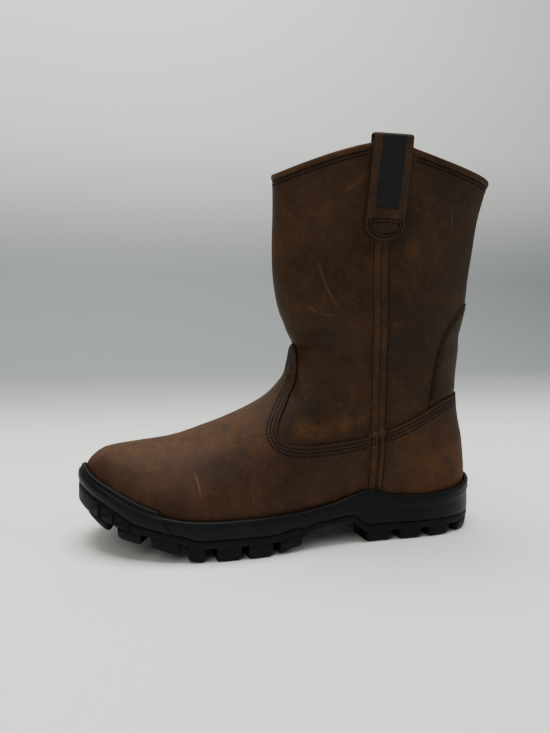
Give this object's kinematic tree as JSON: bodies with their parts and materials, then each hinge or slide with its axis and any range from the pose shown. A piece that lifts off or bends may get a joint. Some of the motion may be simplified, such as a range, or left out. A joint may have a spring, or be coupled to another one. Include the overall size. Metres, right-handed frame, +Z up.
{
  "type": "pull-on work boot",
  "caption": "Left pull-on work boot: oiled leather upper with a scalloped collar and side pull straps, on a thick lugged rubber sole with a raised toe guard and a separate heel.",
  "frame": {"origin": "on the floor, under the middle of the whole boot", "axes": "+Z up, toe towards -X, outer side of the foot towards -Y"},
  "size_m": [0.3058, 0.1092, 0.2914],
  "materials": {
    "shaft_leather": "oiled, low sheen, softly scuffed",
    "vamp_leather": "oiled, low sheen, dry and nubbed at heel and toe",
    "trim_leather": "oiled, low sheen",
    "label_weave": "plain black woven tape",
    "insole_cloth": "matt cloth over foam",
    "sole_rubber": "satin moulded rubber",
    "tread_rubber": "matt moulded rubber"
  },
  "bodies": {
    "root": {"upper": "shaft_leather", "vamp": "vamp_leather", "heel_counter": "vamp_leather", "back_stay": "trim_leather", "side_strip_outer": "trim_leather", "side_strip_inner": "trim_leather", "pull_loop_outer": "trim_leather", "pull_loop_inner": "trim_leather", "loop_label": "label_weave", "insole": "insole_cloth", "midsole": "sole_rubber", "toe_bumper": "sole_rubber", "outsole": "tread_rubber"}
  },
  "joints": []
}
